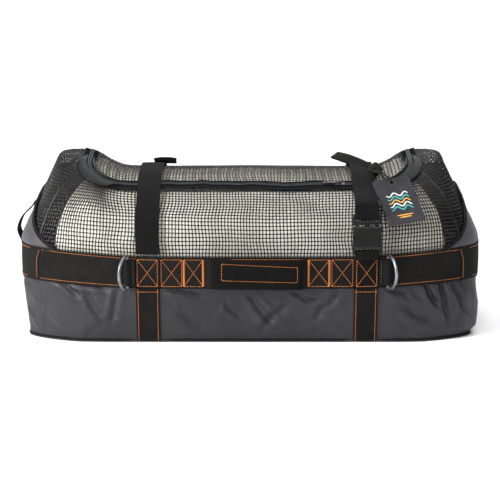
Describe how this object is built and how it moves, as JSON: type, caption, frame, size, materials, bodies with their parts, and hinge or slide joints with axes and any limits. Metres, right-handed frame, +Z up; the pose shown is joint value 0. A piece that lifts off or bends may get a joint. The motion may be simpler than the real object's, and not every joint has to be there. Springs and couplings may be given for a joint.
{
  "type": "mesh gear duffel bag",
  "caption": "Large soft gear duffel: coated tub base, open mesh upper with a U zip lid, webbing girth band with grab handles, D-rings and buckled compression straps over the lid.",
  "frame": {"origin": "centre of the flat underside of the bottom panel, which rests on the ground", "axes": "+Z up, +X along the length to the bag's right as seen from the front, -Y towards the front"},
  "size_m": [0.7731, 0.4064, 0.2951],
  "materials": {
    "base_fabric": "matte coated",
    "coated_fabric": "satin coated",
    "open_mesh": "open grid mesh, plastic coated",
    "liner": "pale matte",
    "zip_tape": "woven",
    "zip_chain": "satin",
    "zip_metal": "satin",
    "buckle_plastic": "satin",
    "ring_metal": "satin",
    "tag_fabric": "woven",
    "tag_cord": "cord",
    "grip_fabric": "woven",
    "webbing": "ribbed, orange stitched edges"
  },
  "bodies": {
    "bag": {"base_strap_left": "webbing", "base_strap_right": "webbing", "base_tub": "coated_fabric", "bottom_panel": "base_fabric", "buckle_female_left": "buckle_plastic", "buckle_female_right": "buckle_plastic", "d_ring_tab_back_left": "webbing", "d_ring_tab_back_right": "webbing", "d_ring_tab_front_left": "webbing", "d_ring_tab_front_right": "webbing", "end_handle": "webbing", "end_mesh_left": "open_mesh", "end_mesh_right": "open_mesh", "end_panel_left": "coated_fabric", "end_panel_right": "coated_fabric", "girth_band": "webbing", "handle_patch_back_left": "webbing", "handle_patch_back_right": "webbing", "handle_patch_front_left": "webbing", "handle_patch_front_right": "webbing", "hinge_binding_body": "zip_tape", "liner_back": "liner", "liner_front": "liner", "mesh_back_panel": "open_mesh", "mesh_front_panel": "open_mesh", "strap_anchor_left": "webbing", "strap_anchor_right": "webbing", "strap_patch_left": "webbing", "strap_patch_right": "webbing", "zip_chain_body": "zip_chain", "zip_tape_body": "zip_tape"},
    "lid": {"lid_mesh": "open_mesh", "lid_liner": "liner", "zip_tape_lid": "zip_tape", "zip_chain_lid": "zip_chain", "hinge_binding_lid": "zip_tape"},
    "zip_slider": {"zip_slider": "zip_metal"},
    "zip_pull": {"zip_pull": "zip_metal"},
    "right_strap": {"compression_strap_right": "webbing", "buckle_male_right": "buckle_plastic", "tag_loop": "tag_cord"},
    "left_strap": {"compression_strap_left": "webbing", "buckle_male_left": "buckle_plastic"},
    "luggage_tag": {"luggage_tag": "tag_fabric"},
    "handle_front": {"handle_web_front": "webbing", "handle_grip_front": "grip_fabric"},
    "handle_back": {"handle_web_back": "webbing", "handle_grip_back": "grip_fabric"},
    "release_right_a": {"buckle_release_right_a": "buckle_plastic"},
    "release_right_b": {"buckle_release_right_b": "buckle_plastic"},
    "release_left_a": {"buckle_release_left_a": "buckle_plastic"},
    "release_left_b": {"buckle_release_left_b": "buckle_plastic"},
    "d_ring_front_left": {"d_ring_front_left": "ring_metal"},
    "d_ring_front_right": {"d_ring_front_right": "ring_metal"},
    "d_ring_back_left": {"d_ring_back_left": "ring_metal"},
    "d_ring_back_right": {"d_ring_back_right": "ring_metal"}
  },
  "joints": [
    {"name": "lid_hinge", "type": "hinge", "parent": "bag", "child": "lid", "pos_m": [0, 0.092, 0.246], "axis": [-1, 0, 0], "range_deg": [0, 75]},
    {"name": "right_strap_swing", "type": "hinge", "parent": "bag", "child": "right_strap", "pos_m": [0.185, 0.175, 0.145], "axis": [-1, 0, 0], "range_deg": [0, 105]},
    {"name": "left_strap_swing", "type": "hinge", "parent": "bag", "child": "left_strap", "pos_m": [-0.163, -0.175, 0.145], "axis": [1, 0, 0], "range_deg": [0, 136]},
    {"name": "zip_slide", "type": "slide", "parent": "lid", "child": "zip_slider", "axis": [-1, 0, 0], "range_m": [0, 0.24]},
    {"name": "zip_pull_hinge", "type": "hinge", "parent": "zip_slider", "child": "zip_pull", "pos_m": [0.1465, -0.09252, 0.25064], "axis": [0, 0.9505, 0.3108], "range_deg": [0, 130]},
    {"name": "handle_front_lift", "type": "hinge", "parent": "bag", "child": "handle_front", "pos_m": [0.0095, -0.1756, 0.1412], "axis": [-1, 0, 0], "range_deg": [0, 70]},
    {"name": "handle_back_lift", "type": "hinge", "parent": "bag", "child": "handle_back", "pos_m": [0.0095, 0.1756, 0.1412], "axis": [1, 0, 0], "range_deg": [0, 70]},
    {"name": "tag_swing", "type": "hinge", "parent": "right_strap", "child": "luggage_tag", "pos_m": [0.22716, -0.12263, 0.25273], "axis": [0.1194, -0.7005, 0.7036], "range_deg": [0, 12]},
    {"name": "release_right_a_press", "type": "slide", "parent": "right_strap", "child": "release_right_a", "axis": [1, 0, 0], "range_m": [0, 0.002], "stiffness_N_per_m": 400},
    {"name": "release_right_b_press", "type": "slide", "parent": "right_strap", "child": "release_right_b", "axis": [-1, 0, 0], "range_m": [0, 0.002]},
    {"name": "release_left_a_press", "type": "slide", "parent": "left_strap", "child": "release_left_a", "axis": [-1, 0, 0], "range_m": [0, 0.002], "stiffness_N_per_m": 400},
    {"name": "release_left_b_press", "type": "slide", "parent": "left_strap", "child": "release_left_b", "axis": [1, 0, 0], "range_m": [0, 0.002]},
    {"name": "d_ring_front_left_swing", "type": "hinge", "parent": "bag", "child": "d_ring_front_left", "pos_m": [-0.195, -0.1759, 0.1177], "axis": [0, 0, 1], "range_deg": [-50, 35]},
    {"name": "d_ring_front_right_swing", "type": "hinge", "parent": "bag", "child": "d_ring_front_right", "pos_m": [0.2195, -0.17358, 0.1186], "axis": [0, 0, 1], "range_deg": [-35, 50]},
    {"name": "d_ring_back_left_swing", "type": "hinge", "parent": "bag", "child": "d_ring_back_left", "pos_m": [-0.195, 0.1759, 0.1177], "axis": [0, 0, 1], "range_deg": [-35, 50]},
    {"name": "d_ring_back_right_swing", "type": "hinge", "parent": "bag", "child": "d_ring_back_right", "pos_m": [0.2195, 0.17358, 0.1186], "axis": [0, 0, 1], "range_deg": [-50, 35]}
  ],
  "couplings": [
    {"joint": "right_strap_swing", "follows": "lid_hinge", "ratio": 1.35},
    {"joint": "left_strap_swing", "follows": "lid_hinge", "ratio": 1.8},
    {"joint": "release_right_b_press", "follows": "release_right_a_press", "ratio": 1},
    {"joint": "release_left_b_press", "follows": "release_left_a_press", "ratio": 1}
  ]
}
